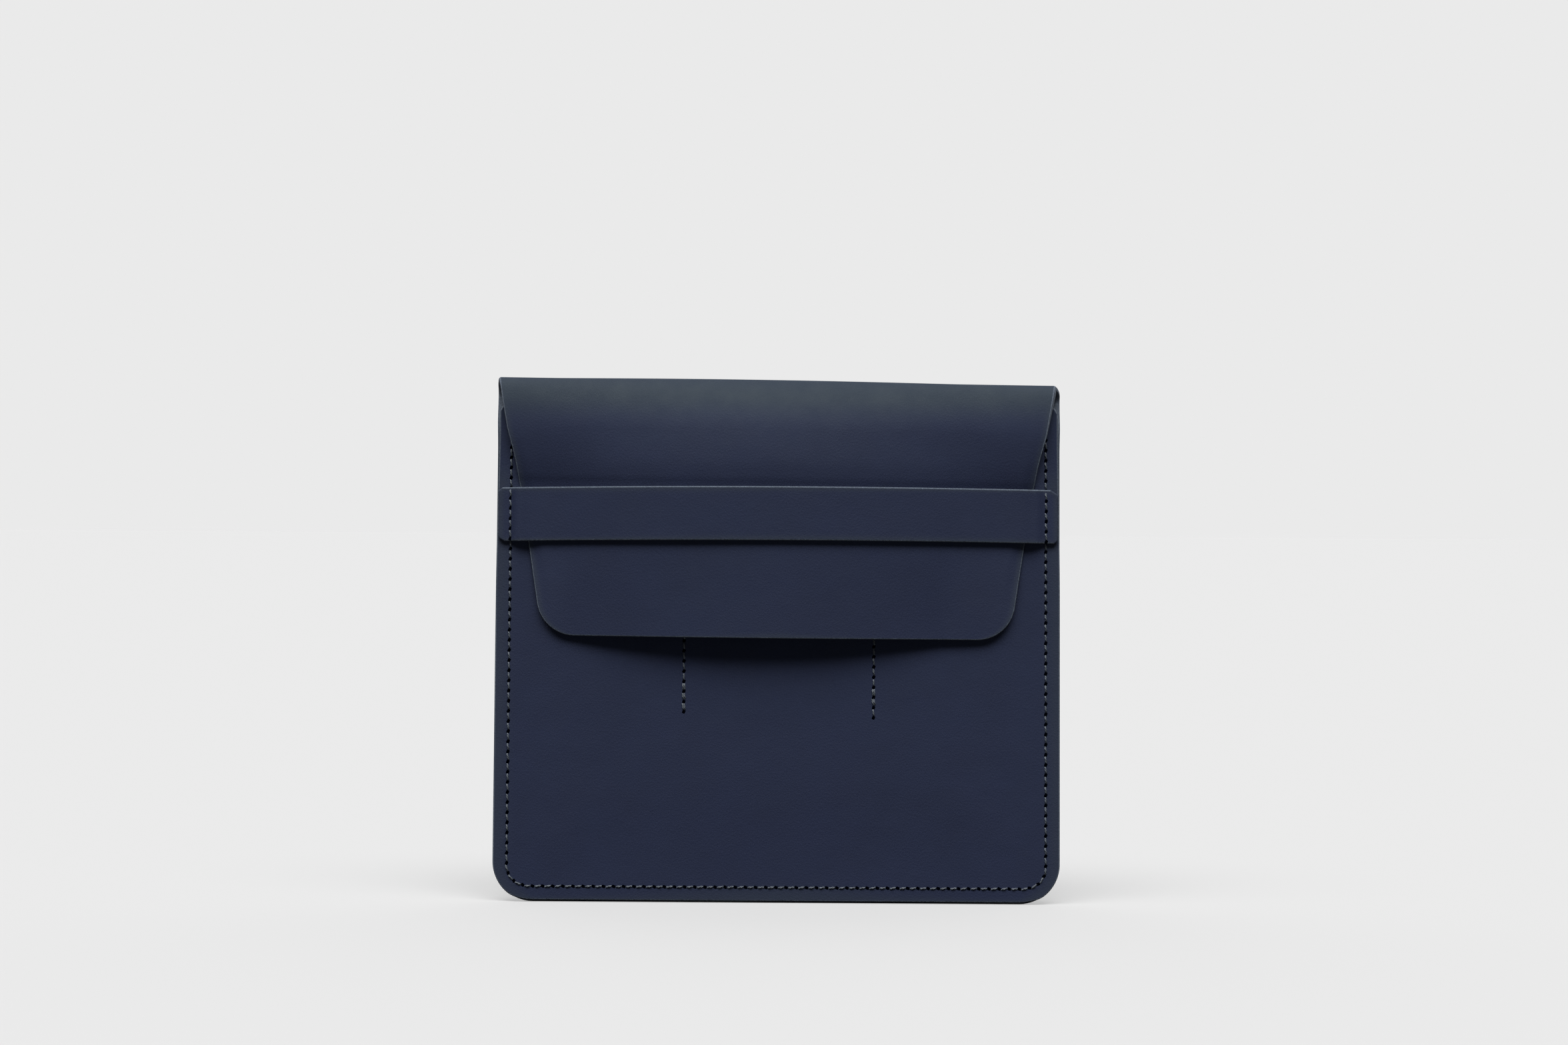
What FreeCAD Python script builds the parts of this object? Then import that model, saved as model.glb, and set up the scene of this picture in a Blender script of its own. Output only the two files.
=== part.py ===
"""Leather tablet sleeve: two hides sewn round three sides, a flap that folds over the mouth and tucks
under a band, and a folded pocket sewn inside the front.

Frame: +X to the right seen from the front, +Y to the back, +Z up, millimetres. The origin is on the
surface that the sleeve stands on, midway along its lower edge, in the plane where the two hides meet.
"""

import FreeCAD, Part
import math
import os
import re
import Sketcher

# Driving dimensions: name, size in millimetres, what it is
SIZES = [
    ("case_width", 224.0, "width across the lower edge"),
    ("mouth_draw", 1.2, "how far the open mouth draws each side in at the top"),
    ("case_height", 206.0, "height of the top of the fold"),
    ("front_drop", 10.0, "top of the fold down to the front panel's top edge"),
    ("leather", 2.0, "thickness of the hide of the panels and the flap"),
    ("corner_radius", 15.0, "lower corners of the panels"),
    ("mouth_corner", 2.0, "upper corners of the front panel"),
    ("front_bulge", 1.4, "how far the front face stands off the seam plane"),
    ("back_bulge", 5.8, "how far the back face stands off the seam plane"),
    ("margin", 7.6, "flat sewn margin along the sides and the bottom"),
    ("slope_run", 9.0, "width of the slope from the margin to the face"),
    ("face_radius", 9.0, "lower corners of the raised face"),
    ("mouth_reach", 18.0, "front panel's top edge down to where the sewn sides start to open"),
    ("mouth_lip", 1.2, "width left beside the raised face at the mouth"),
    ("seam_inset", 5.6, "stitch row to the edge of the panels"),
    ("seam_drop", 15.0, "front panel's top edge down to the top of the side rows of stitches"),
    ("stitch_pitch", 4.0, "length of one stitch with its hole"),
    ("stitch_hole", 0.7, "hole between two stitches"),
    ("stitch_width", 0.9, "width of the thread"),
    ("stitch_height", 0.5, "how far a stitch stands off the hide"),
    ("stitch_slant", 9.0, "angle of a stitch to its row, in degrees"),
    ("flap_gap", 0.7, "space between the front face and the flap"),
    ("flap_end", 104.7, "height of the flap's lower edge"),
    ("flap_taper", 0.17, "how much each side of the flap draws in per unit of length"),
    ("flap_corner", 15.0, "lower corners of the flap"),
    ("flap_bow", 230.0, "radius of the flap's tip, which springs away below the band"),
    ("fold_gap", 0.15, "slit between the strips that stand for the supple fold"),
    ("band_base", 142.9, "height of the band's lower edge"),
    ("band_height", 21.2, "height of the band"),
    ("band_inset", 2.5, "band's ends to the edge of the panels"),
    ("band_leather", 1.6, "thickness of the band"),
    ("band_gap", 0.25, "space between the flap and the band"),
    ("band_corner", 2.2, "corners of the band"),
    ("band_step", 0.9, "width of the step that the band climbs beside the flap"),
    ("band_bend", 0.5, "inside radius of the bends of that step"),
    ("pocket_rows", 74.8, "distance between the two stitch rows of the inner pocket"),
    ("pocket_edge", 4.0, "pocket's side edge to its stitch row"),
    ("pocket_row_base", 74.0, "height of the lower end of the pocket's stitch rows"),
    ("pocket_hem", 3.5, "pocket's fold to the lower end of its stitch rows"),
    ("pocket_drop", 12.0, "front panel's top edge down to the pocket's mouth"),
    ("pocket_leather", 0.9, "thickness of the pocket's thin hide"),
    ("pocket_slot", 0.3, "space between the two layers of the pocket"),
]

# Values that follow from the driving dimensions
FOLLOWS = {
    "mouth_width": "case_width - 2 * mouth_draw",
    "front_height": "case_height - front_drop",
    "mouth_open": "front_height - mouth_reach",
    "seam_top": "front_height - seam_drop",
    "pocket_top": "front_height - pocket_drop",
    "front_face": "leather + front_bulge",
    "back_face": "leather + back_bulge",
    "flap_inner": "front_face + flap_gap",
    "flap_outer": "flap_inner + leather",
    "fold_outer": "(back_face + flap_outer) / 2",
    "fold_inner": "fold_outer - leather",
    "fold_middle": "fold_outer - leather / 2",
    "fold_y": "back_face - fold_outer",
    "fold_z": "case_height - fold_outer",
    "side_draw": "mouth_draw / fold_z",
    "flap_half_top": "mouth_width / 2 - flap_taper * pi * fold_middle",
    "flap_half_end": "flap_half_top - flap_taper * (fold_z - flap_end)",
    "band_top": "band_base + band_height",
    "band_inner": "flap_outer + band_gap",
    "band_half": "case_width / 2 - band_inset",
    "band_crest": "flap_half_top - flap_taper * (fold_z - band_top) + band_gap",
    "band_foot": "band_crest + band_step",
    "pocket_depth": "2 * pocket_leather + pocket_slot",
    "pocket_fold_z": "pocket_row_base - pocket_hem",
}

HINGE_ANGLES = (30, 90, 150)  # where the fold bends, in degrees round it from the back
STRAIGHT = 180  # where the fold ends in the flat of the flap
SLOPE = ((0, 0), (0.3, 0.14), (0.7, 0.86), (1, 1))  # the slope's easy curve: shares of its run and rise
BEYOND = 40.0  # how far a cutting outline reaches past the piece that it trims

doc = FreeCAD.newDocument("tablet_sleeve")
sizes = doc.addObject("Spreadsheet::Sheet", "Sizes")


def fill_sheet():
    """One row per driving dimension: its words, its number and its alias."""
    for row, (alias, value, words) in enumerate(SIZES, start=1):
        sizes.set(f"A{row}", words)
        sizes.set(f"B{row}", str(value))
        sizes.setAlias(f"B{row}", alias)
    doc.recompute()


def formula(text):
    """An expression in plain names, with following values written out and sheet names made full."""
    names = re.compile(r"[a-z]+(?:_[a-z]+)*")
    aliases = {alias for alias, _, _ in SIZES}

    def full(match):
        word = match.group(0)
        if word in FOLLOWS:
            return f"({formula(FOLLOWS[word])})"
        return f"Sizes.{word}" if word in aliases else word

    return names.sub(full, text)


def number(text):
    """The value of an expression, for the shapes that are made from numbers."""
    value = sizes.evalExpression(formula(str(text)))
    return float(getattr(value, "Value", value))


# Sketches


def origin_plane(body, role):
    return next(f for f in body.Origin.OriginFeatures if f.Role == role)


def new_sketch(body, name, plane, offset="0"):
    sketch = body.newObject("Sketcher::SketchObject", name)
    sketch.AttachmentSupport = [(origin_plane(body, plane), "")]
    sketch.MapMode = "FlatFace"
    sketch.setExpression("AttachmentOffset.Base.z", formula(offset))
    return sketch


def pin(sketch, kind, places, text):
    """A dimension of a sketch, bound to an expression."""
    index = sketch.addConstraint(Sketcher.Constraint(kind, *places, number(text)))
    sketch.setExpression(f"Constraints[{index}]", formula(text))


def pin_point(sketch, geometry, end, x_text, y_text):
    pin(sketch, "DistanceX", (-1, 1, geometry, end), x_text)
    pin(sketch, "DistanceY", (-1, 1, geometry, end), y_text)


def tangent_points(before, corner, after, radius):
    """Where an arc of that radius leaves and joins the two sides of a corner, and its middle."""
    to_before = (before - corner).normalize()
    to_after = (after - corner).normalize()
    half = to_before.getAngle(to_after) / 2
    reach = radius / math.tan(half)
    inward = (to_before + to_after).normalize()
    return (
        corner + to_before * reach,
        corner + to_after * reach,
        corner + inward * (radius / math.sin(half) - radius),
    )


def outline(sketch, corners):
    """A closed outline. Each corner is (x, y) or (x, y, radius), in expressions."""
    count = len(corners)
    points = [FreeCAD.Vector(number(c[0]), number(c[1]), 0) for c in corners]
    starts, ends, arcs = list(points), list(points), {}
    for i, corner in enumerate(corners):
        if len(corner) == 3:
            radius = number(corner[2])
            arrive, leave, middle = tangent_points(points[i - 1], points[i], points[(i + 1) % count], radius)
            ends[i], starts[i] = arrive, leave
            arcs[i] = Part.Arc(arrive, middle, leave)
    lines = [
        sketch.addGeometry(Part.LineSegment(starts[i], ends[(i + 1) % count]), False) for i in range(count)
    ]
    for i, corner in enumerate(corners):
        before, after = lines[i - 1], lines[i]
        if i not in arcs:
            sketch.addConstraint(Sketcher.Constraint("Coincident", before, 2, after, 1))
            pin_point(sketch, after, 1, corner[0], corner[1])
            continue
        arc = sketch.addGeometry(arcs[i], False)
        arrive_end = 1 if sketch.getPoint(arc, 1).distanceToPoint(ends[i]) < 1e-6 else 2
        sketch.addConstraint(Sketcher.Constraint("Tangent", before, 2, arc, arrive_end))
        sketch.addConstraint(Sketcher.Constraint("Tangent", after, 1, arc, 3 - arrive_end))
        pin(sketch, "Radius", (arc,), corner[2])
        point = sketch.addGeometry(Part.Point(points[i]), True)
        sketch.addConstraint(Sketcher.Constraint("PointOnObject", point, 1, before))
        sketch.addConstraint(Sketcher.Constraint("PointOnObject", point, 1, after))
        pin_point(sketch, point, 1, corner[0], corner[1])
    return sketch


def mirrored(right_side):
    """The corners of an outline that is alike on both sides of its vertical axis."""
    left_side = [(f"-({c[0]})", *c[1:]) for c in reversed(right_side)]
    return list(right_side) + left_side


def fold_sector(sketch, first, last):
    """The section of the fold between two angles round it, as a piece of a ring."""
    middle = FreeCAD.Vector(number("fold_y"), number("fold_z"), 0)
    normal = FreeCAD.Vector(0, 0, 1)
    span = math.radians(first), math.radians(last)
    rings = []
    for radius in ("fold_inner", "fold_outer"):
        circle = Part.Circle(middle, normal, number(radius))
        rings.append(sketch.addGeometry(Part.ArcOfCircle(circle, *span), False))
        pin(sketch, "Radius", (rings[-1],), radius)
    inner, outer = rings
    sketch.addConstraint(Sketcher.Constraint("Coincident", inner, 3, outer, 3))
    pin_point(sketch, inner, 3, "fold_y", "fold_z")
    for end, angle in ((1, first), (2, last)):
        ray = FreeCAD.Vector(math.cos(math.radians(angle)), math.sin(math.radians(angle)), 0)
        edge = Part.LineSegment(middle + ray * number("fold_inner"), middle + ray * number("fold_outer"))
        line = sketch.addGeometry(edge, False)
        sketch.addConstraint(Sketcher.Constraint("Coincident", inner, end, line, 1))
        sketch.addConstraint(Sketcher.Constraint("Coincident", outer, end, line, 2))
        sketch.addConstraint(Sketcher.Constraint("PointOnObject", inner, 3, line))
        sketch.addConstraint(Sketcher.Constraint("Angle", line, math.radians(angle)))
    return sketch


# Features


def new_body(label):
    body = doc.addObject("PartDesign::Body", label)
    body.Label = label
    return body


def pad(body, name, sketch, length, both_ways=False):
    feature = body.newObject("PartDesign::Pad", name)
    feature.Profile = sketch
    feature.setExpression("Length", formula(length))
    feature.Midplane = both_ways
    doc.recompute()
    return feature


def trim(body, name, sketch):
    """Cuts a sketch's area out of the body, both ways through all of it."""
    before = body.Shape.Volume
    feature = body.newObject("PartDesign::Pocket", name)
    feature.Profile = sketch
    feature.Type = "ThroughAll"
    feature.Midplane = True
    doc.recompute()
    if body.Shape.Volume > before - 1e-3:
        raise RuntimeError(f"{name} cut nothing")
    return feature


def loft(body, name, kind, sketches):
    feature = body.newObject(f"PartDesign::{kind}Loft", name)
    feature.Profile = sketches[0]
    feature.Sections = sketches[1:]
    feature.Ruled = True
    doc.recompute()
    return feature


# Leather panels


def panel_edge(top):
    """Half of a panel's outer edge, from the middle of the base up to a height."""
    return [
        ("case_width / 2", "0", "corner_radius"),
        (f"case_width / 2 - side_draw * ({top})", top),
    ]


def raised_outline(run, wall):
    """Half of a level line of the raised face, a share of the way up its slope, widening to the mouth."""
    inset = f"margin + slope_run * {run}"
    return [
        (f"case_width / 2 - ({inset})", inset, f"(corner_radius - margin) * {1 - run} + face_radius * {run}"),
        (f"case_width / 2 - side_draw * mouth_open - ({inset})", "mouth_open"),
        (f"mouth_width / 2 - mouth_lip * {(1 + run) / 2} - {wall}", "fold_z"),
    ]


def panel(label, side, bulge):
    """A hide with a flat sewn margin and a raised face, open at the mouth. side is 1 for the front."""
    body = new_body(label)
    plate = outline(new_sketch(body, f"{label}_edge", "XZ_Plane"), mirrored(panel_edge("fold_z")))
    slab = pad(body, f"{label}_slab", plate, "leather")
    slab.Reversed = side < 0
    doc.recompute()
    for kind, start, wall in (("Additive", "leather", "0"), ("Subtractive", "0", "leather")):
        levels = []
        for run, rise in SLOPE:
            depth = f"{side} * ({start} + {bulge} * {rise})"
            sketch = new_sketch(body, f"{label}_{kind.lower()}_{len(levels)}", "XZ_Plane", depth)
            levels.append(outline(sketch, mirrored(raised_outline(run, wall))))
        loft(body, f"{label}_{kind.lower()}", kind, levels)
    return body


def front_panel():
    """The front hide, cut off below the fold with small corners at its mouth."""
    body = panel("front_panel", 1, "front_bulge")
    reach = f"case_width / 2 + {BEYOND}"
    mouth_half = "case_width / 2 - side_draw * front_height"
    above = [
        (f"{mouth_half} - mouth_corner", "front_height"),
        (f"{mouth_half} + mouth_corner", "front_height - 2 * mouth_corner"),
        (reach, "front_height - 2 * mouth_corner"),
        (reach, f"case_height + {BEYOND}"),
    ]
    trim(body, "mouth_edge", outline(new_sketch(body, "mouth_edge_sketch", "XZ_Plane"), mirrored(above)))
    return body


def strip_half(angle):
    """Half width of the hide at an angle round the fold, where the flap's taper has begun."""
    return f"mouth_width / 2 - flap_taper * fold_middle * pi * {angle} / 180"


def slit(angle, way):
    """An angle moved off a hinge line by half the slit between two strips."""
    return angle + way * math.degrees(number("fold_gap / 2 / fold_outer"))


def taper_plan(sketch, first, last):
    """Everything beside a stretch of the fold, seen from above, outside its tapering ends."""
    reach = f"case_width / 2 + {BEYOND}"
    corners = []
    for angle in (first, last):
        corners.append((strip_half(angle), f"fold_y + fold_outer * cos({angle} deg)"))
    (rear_half, rear_y), (front_half, front_y) = corners
    right = [(front_half, front_y), (reach, front_y), (reach, rear_y), (rear_half, rear_y)]
    left = [(f"-({x})", y) for x, y in right]
    outline(sketch, right)
    return outline(sketch, left)


def back_panel():
    """The back hide, which runs on into the first part of the fold."""
    body = panel("back_panel", -1, "back_bulge")
    last = slit(HINGE_ANGLES[0], -1)
    section = fold_sector(new_sketch(body, "fold_start", "YZ_Plane"), 0, last)
    pad(body, "fold_start_pad", section, "mouth_width - 2 * mouth_lip", both_ways=True)
    return body


def fold_strip(label, first, last):
    """A stretch of the supple fold between two hinge lines."""
    body = new_body(label)
    section = fold_sector(new_sketch(body, f"{label}_section", "YZ_Plane"), slit(first, 1), slit(last, -1))
    pad(body, f"{label}_pad", section, "mouth_width", both_ways=True)
    plan = taper_plan(new_sketch(body, f"{label}_plan", "XY_Plane"), first, last)
    trim(body, f"{label}_ends", plan)
    return body


def flap():
    """The flap: the end of the fold, a straight run under the band, and a tip that springs forward."""
    body = new_body("flap")
    width = "mouth_width"
    first = slit(HINGE_ANGLES[-1], 1)
    section = fold_sector(new_sketch(body, "flap_fold", "YZ_Plane"), first, STRAIGHT)
    pad(body, "flap_fold_pad", section, width, both_ways=True)
    run = [
        ("-flap_outer", "band_base"),
        ("-flap_inner", "band_base"),
        ("-flap_inner", "fold_z"),
        ("-flap_outer", "fold_z"),
    ]
    pad(body, "flap_run", outline(new_sketch(body, "flap_run_section", "YZ_Plane"), run), width, both_ways=True)
    pad(body, "flap_tip", tip_section(new_sketch(body, "flap_tip_section", "YZ_Plane")), width, both_ways=True)
    trim(body, "flap_cut", flap_surround(new_sketch(body, "flap_outline", "XZ_Plane")))
    return body


def tip_section(sketch):
    """The section of the flap's tip: a gentle curve away from the front, down past its edge."""
    middle = FreeCAD.Vector(number("-(flap_outer + flap_bow)"), number("band_base"), 0)
    drop = math.asin(number("(band_base - flap_end + leather) / flap_bow"))
    normal = FreeCAD.Vector(0, 0, 1)
    arcs = []
    for radius in ("flap_bow", "flap_bow + leather"):
        arc = Part.ArcOfCircle(Part.Circle(middle, normal, number(radius)), -drop, 0)
        arcs.append(sketch.addGeometry(arc, False))
        pin(sketch, "Radius", (arcs[-1],), radius)
    near, far = arcs
    sketch.addConstraint(Sketcher.Constraint("Coincident", near, 3, far, 3))
    pin_point(sketch, near, 3, "-(flap_outer + flap_bow)", "band_base")
    for end, height in ((1, "flap_end - leather"), (2, "band_base")):
        ends = [sketch.getPoint(arc, end) for arc in arcs]
        line = sketch.addGeometry(Part.LineSegment(*ends), False)
        for place, arc in ((1, near), (2, far)):
            sketch.addConstraint(Sketcher.Constraint("Coincident", arc, end, line, place))
            pin(sketch, "DistanceY", (-1, 1, line, place), height)
    return sketch


def flap_surround(sketch):
    """Everything outside the flap's tapering outline, with its round lower corners."""
    over = "case_height"
    half_over = "flap_half_top + flap_taper * fold_outer"
    outline(sketch, mirrored([("flap_half_end", "flap_end", "flap_corner"), (half_over, over)]))
    reach = f"case_width / 2 + {BEYOND}"
    return outline(sketch, mirrored([(reach, f"flap_end - {BEYOND}"), (reach, over)]))


def retaining_band():
    """The band: flat ends on the sewn margin, a bend up each side, and a level run over the flap."""
    body = new_body("retaining_band")
    outer_bend = "band_bend + band_leather"
    rise = "(band_inner - leather)"
    lean = f"band_leather * (sqrt({rise} ^ 2 + band_step ^ 2) - band_step) / {rise}"
    right = [
        ("band_crest", "-band_inner", "band_bend"),
        ("band_foot", "-leather", outer_bend),
        ("band_half", "-leather"),
        ("band_half", "-(leather + band_leather)"),
        (f"band_foot + {lean}", "-(leather + band_leather)", "band_bend"),
        (f"band_crest + {lean}", "-(band_inner + band_leather)", outer_bend),
    ]
    section = outline(new_sketch(body, "band_section", "XY_Plane", "band_base"), mirrored(right))
    pad(body, "band_run", section, "band_height")
    half = "band_half"
    reach = f"{half} + {BEYOND}"
    corners = new_sketch(body, "band_corners", "XZ_Plane")
    for edge, way in (("band_base", 1), ("band_top", -1)):
        for end in (1, -1):
            tip = [
                (f"{end} * ({half} - band_corner)", edge),
                (f"{end} * {half}", f"{edge} + {way} * band_corner"),
                (f"{end} * ({reach})", f"{edge} + {way} * band_corner"),
                (f"{end} * ({reach})", f"{edge} - {way} * band_corner"),
                (f"{end} * ({half} - band_corner)", f"{edge} - {way} * band_corner"),
            ]
            outline(corners, tip)
    trim(body, "band_corner_cut", corners)
    return body


def inner_pocket():
    """A thin hide folded in two at its lower edge and sewn by its sides inside the front."""
    body = new_body("inner_pocket")
    near = "-front_bulge"
    far = "(pocket_depth - front_bulge)"
    bottom = "pocket_fold_z"
    section = [
        (near, "pocket_top"),
        (near, bottom, "pocket_depth / 2 - 0.01"),
        (far, bottom, "pocket_depth / 2 - 0.01"),
        (far, "pocket_top"),
        (f"{far} - pocket_leather", "pocket_top"),
        (f"{far} - pocket_leather", f"{bottom} + pocket_leather"),
        (f"{near} + pocket_leather", f"{bottom} + pocket_leather"),
        (f"{near} + pocket_leather", "pocket_top"),
    ]
    sheet = outline(new_sketch(body, "pocket_section", "YZ_Plane"), section)
    pad(body, "pocket_run", sheet, "pocket_rows + 2 * pocket_edge", both_ways=True)
    return body


# Stitches


def stitch(place, along, outward, slant):
    """One stitch lying on the hide at a place, along its row, as a low bar with sloping sides and ends."""
    length = number("stitch_pitch - stitch_hole")
    width = number("stitch_width")
    rise = number("stitch_height")
    bar = Part.makeWedge(
        -length / 2, 0, -width / 2, -width / 4, -length / 2 + rise,
        length / 2, rise, width / 2, width / 4, length / 2 - rise,
    )
    across = along.cross(outward)
    turn = FreeCAD.Rotation(along, outward, across, "XYZ")
    lean = FreeCAD.Rotation(outward, slant)
    bar.Placement = FreeCAD.Placement(place, lean.multiply(turn))
    return bar


def seam_path():
    """The stitch row from the top of one side, round the base, to the top of the other."""
    inset = number("seam_inset")
    half = number("case_width / 2") - inset
    draw = number("side_draw")
    radius = number("corner_radius") - inset
    top = number("seam_top")
    points = [
        FreeCAD.Vector(-half + draw * top, 0, top),
        FreeCAD.Vector(-half, 0, inset),
        FreeCAD.Vector(half, 0, inset),
        FreeCAD.Vector(half - draw * top, 0, top),
    ]
    left = tangent_points(points[0], points[1], points[2], radius)
    right = tangent_points(points[1], points[2], points[3], radius)
    edges = [
        Part.LineSegment(points[0], left[0]).toShape(),
        Part.Arc(left[0], left[2], left[1]).toShape(),
        Part.LineSegment(left[1], right[0]).toShape(),
        Part.Arc(right[0], right[2], right[1]).toShape(),
        Part.LineSegment(right[1], points[3]).toShape(),
    ]
    return Part.Wire(edges)


def along_path(wire, pitch):
    """Points one pitch apart along a wire, as many as fit, each with the direction of the row there."""
    count = int(wire.Length / pitch)
    spare = (wire.Length - count * pitch) / 2
    found = []
    for edge in wire.OrderedEdges:
        first, last = edge.ParameterRange
        forward = edge.Orientation == "Forward"
        found.append((edge, first, last, forward))
    places = []
    done = 0.0
    step = spare + pitch / 2
    for edge, first, last, forward in found:
        while len(places) < count and step <= done + edge.Length + 1e-9:
            gone = step - done
            at = edge.getParameterByLength(gone if forward else edge.Length - gone)
            heading = edge.tangentAt(at) * (1 if forward else -1)
            places.append((edge.valueAt(at), heading))
            step += pitch
        done += edge.Length
    return places


def thread(label, stitches):
    piece = doc.addObject("Part::Feature", label)
    piece.Label = label
    piece.Shape = Part.makeCompound(stitches)
    return piece


def seam_threads():
    """The thread of the outer seam: its rows on the front, on the band's ends and on the back."""
    front = FreeCAD.Vector(0, -1, 0)
    slant = number("stitch_slant")
    low, high = number("band_base"), number("band_top")
    half_pitch = number("stitch_pitch / 2")
    groups = {"left": [], "base": [], "right": [], "band_left": [], "band_right": [], "back": []}
    for place, heading in along_path(seam_path(), number("stitch_pitch")):
        side = "left" if place.x < 0 else "right"
        beside_band = low - half_pitch < place.z < high + half_pitch
        on_band = low + half_pitch * 0.9 < place.z < high - half_pitch * 0.9
        back_place = place + FreeCAD.Vector(0, number("leather"), 0)
        groups["back"].append(stitch(back_place, heading, front * -1, slant))
        if on_band:
            band_place = place + front * number("leather + band_leather")
            groups[f"band_{side}"].append(stitch(band_place, heading, front, slant))
            continue
        if beside_band:
            continue
        upright = abs(heading.z) > math.cos(math.radians(45))
        hide_place = place + front * number("leather")
        groups[side if upright else "base"].append(stitch(hide_place, heading, front, slant))
    for name, stitches in groups.items():
        thread(f"seam_thread_{name}", stitches)


def pocket_threads():
    """The two short rows that hold the inner pocket, on the front face and inside."""
    front = FreeCAD.Vector(0, -1, 0)
    slant = number("stitch_slant")
    pitch = number("stitch_pitch")
    low, high = number("pocket_row_base"), number("pocket_top")
    for name, side in (("left", -1), ("right", 1)):
        x = side * number("pocket_rows / 2")
        row = Part.Wire([Part.LineSegment(FreeCAD.Vector(x, 0, low), FreeCAD.Vector(x, 0, high)).toShape()])
        stitches = []
        for place, heading in along_path(row, pitch):
            outside = place + front * number("front_face")
            inside = place - front * number("pocket_depth - front_bulge")
            stitches.append(stitch(outside, heading, front, slant))
            stitches.append(stitch(inside, heading, front * -1, slant))
        thread(f"pocket_thread_{name}", stitches)


def check(pieces):
    """Stops the build if any object of the document failed or any piece isn't a sound solid."""
    for item in doc.Objects:
        if {"Invalid", "Error"} & set(item.State):
            raise RuntimeError(f"{item.Label} failed: {item.State}")
    for piece in pieces:
        shape = piece.Shape
        if shape.isNull() or not shape.isValid() or not shape.Solids:
            raise RuntimeError(f"{piece.Label} is not a sound solid")


def main():
    fill_sheet()
    front_panel()
    back_panel()
    fold_strip("fold_rear", HINGE_ANGLES[0], HINGE_ANGLES[1])
    fold_strip("fold_front", HINGE_ANGLES[1], HINGE_ANGLES[2])
    flap()
    retaining_band()
    inner_pocket()
    seam_threads()
    pocket_threads()
    doc.recompute()
    pieces = [o for o in doc.Objects if o.TypeId in ("PartDesign::Body", "Part::Feature")]
    check(pieces)
    os.makedirs("parts", exist_ok=True)
    for piece in pieces:
        piece.Shape.exportStep(f"parts/{piece.Label}.step")
        print(piece.Label, len(piece.Shape.Solids), "solids", round(piece.Shape.Volume, 1), "mm3")


main()
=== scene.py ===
import math

import bpy
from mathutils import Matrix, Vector, noise


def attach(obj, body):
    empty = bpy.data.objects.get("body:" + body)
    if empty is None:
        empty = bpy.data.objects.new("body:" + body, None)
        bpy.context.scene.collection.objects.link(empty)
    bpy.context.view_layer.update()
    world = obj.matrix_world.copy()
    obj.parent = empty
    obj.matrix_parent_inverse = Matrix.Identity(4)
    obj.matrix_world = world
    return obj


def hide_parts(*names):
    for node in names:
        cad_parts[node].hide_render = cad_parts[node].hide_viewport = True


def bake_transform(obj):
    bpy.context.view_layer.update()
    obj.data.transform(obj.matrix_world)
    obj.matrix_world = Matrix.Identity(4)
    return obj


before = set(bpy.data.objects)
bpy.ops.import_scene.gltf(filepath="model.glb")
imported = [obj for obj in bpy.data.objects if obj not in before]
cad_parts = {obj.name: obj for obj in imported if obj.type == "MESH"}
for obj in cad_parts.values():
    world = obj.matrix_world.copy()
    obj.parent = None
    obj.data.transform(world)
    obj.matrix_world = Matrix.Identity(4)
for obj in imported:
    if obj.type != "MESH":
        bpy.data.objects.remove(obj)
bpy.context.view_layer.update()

# A stitched leather sleeve with a flap that folds over the top and tucks behind a
# band, on a pale floor under a wide soft light.

MM = 0.001  # sizes below are in millimetres, and the scene is in metres

# The flat pattern and where its pieces lie, mostly as in the part's source
HALF = 112.0  # half the sleeve's width at the floor
MOUTH_HALF = 110.8  # and at the fold
TOP = 206.0  # height of the fold's top
FRONT_TOP = 196.0  # height of the front panel
HIDE = 2.0  # thickness of the panels
CORNER = 15.0  # radius of their lower corners
FRONT_BULGE = 1.4  # how far the front swells
BACK_BULGE = 5.8  # and the back
MARGIN = 7.6  # width of the flat margin round both
FRONT_RUN = 45.0  # over what distance the front's swell grows
BACK_RUN = 12.0  # and the back's
MOUTH_OPEN = 178.0  # from what height the back opens out to the sides
MOUTH_LIP = 1.2  # width of its margin and slope together at the mouth
SEAM_INSET = 5.6  # from the edge in to the seam's row
SEAM_TOP = 185.0  # height of the row's ends
PITCH = 4.0  # from one stitch to the next
FLAP_GAP = 0.7  # between the front and the flap
FLAP_END = 104.7  # height of the flap's tip
FLAP_END_HALF = 92.2  # half its width there, without its round corners
FLAP_CORNER = 15.0  # radius of those
FLAP_LEAN = 0.152  # how far its sides lean out for each millimetre up
FLAP_SPLAY = 0.00056  # and how much they splay besides
SPLAY_FOOT = 45.0  # from how far above the tip
BAND_BASE = 142.9  # height of the band's lower edge
BAND_HEIGHT = 21.2
BAND_HALF = 110.2  # half its length across the front
BAND_FOOT = 105.2  # how far out it meets the front
BAND_HIDE = 1.6  # its thickness
BAND_GAP = 0.25  # between the flap and the band
BAND_CLIP_LEFT = (2.6, 1.6), (1.7, 1.4)  # its clipped foot and top, across and up
BAND_CLIP_RIGHT = (1.8, 1.3), (3.5, 2.1)
POCKET_ROW = 37.4  # how far to each side the pocket's rows lie
POCKET_EDGE = 4.0  # how far the pocket reaches past them
POCKET_ROW_BASE = 74.0  # height of their foot
POCKET_HEM = 3.5  # from there down to the pocket's fold
POCKET_TOP = 184.0
POCKET_HIDE = 0.9  # its thickness
POCKET_SLOT = 0.3  # the space inside it

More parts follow.
